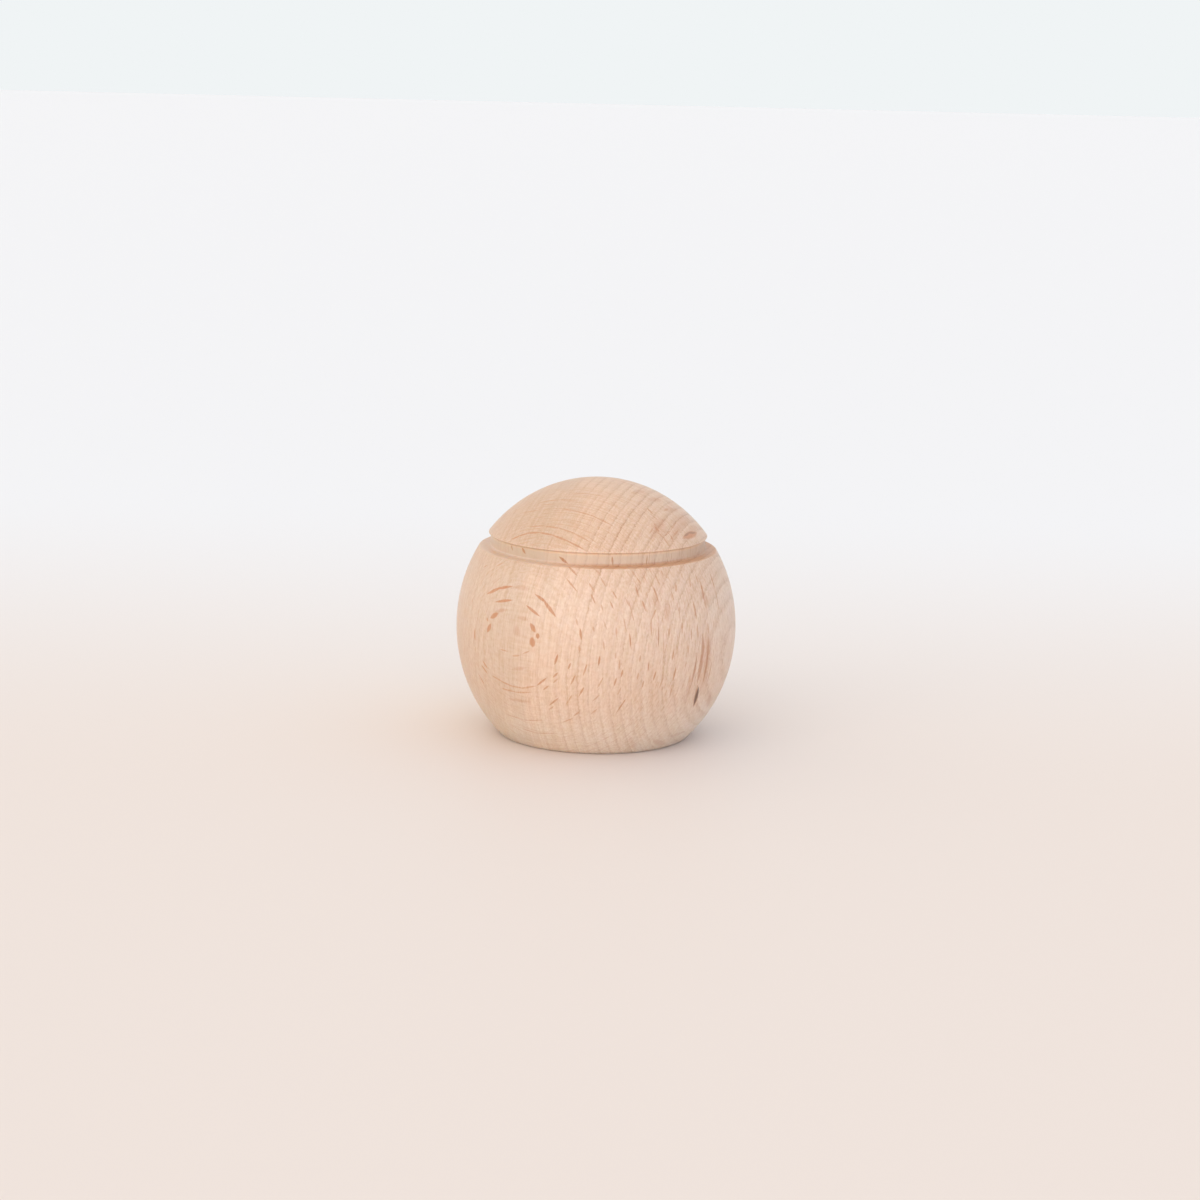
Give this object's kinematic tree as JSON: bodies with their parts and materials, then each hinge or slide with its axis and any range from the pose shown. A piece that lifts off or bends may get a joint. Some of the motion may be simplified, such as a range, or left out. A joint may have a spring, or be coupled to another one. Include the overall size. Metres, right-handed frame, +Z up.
{
  "type": "grooved wooden ball",
  "caption": "Turned beech ball, slightly taller than round, with a flat foot to stand on and a square ring groove below its domed cap.",
  "frame": {"origin": "middle of the flat foot", "axes": "+Z up along the turning axis, from the foot to the cap; +X and +Y lie in the plane of the foot"},
  "size_m": [0.06, 0.06, 0.0554],
  "materials": {
    "beech": "fine-sanded, unoiled, matt"
  },
  "bodies": {
    "root": {"wooden_ball": "beech"}
  },
  "joints": []
}
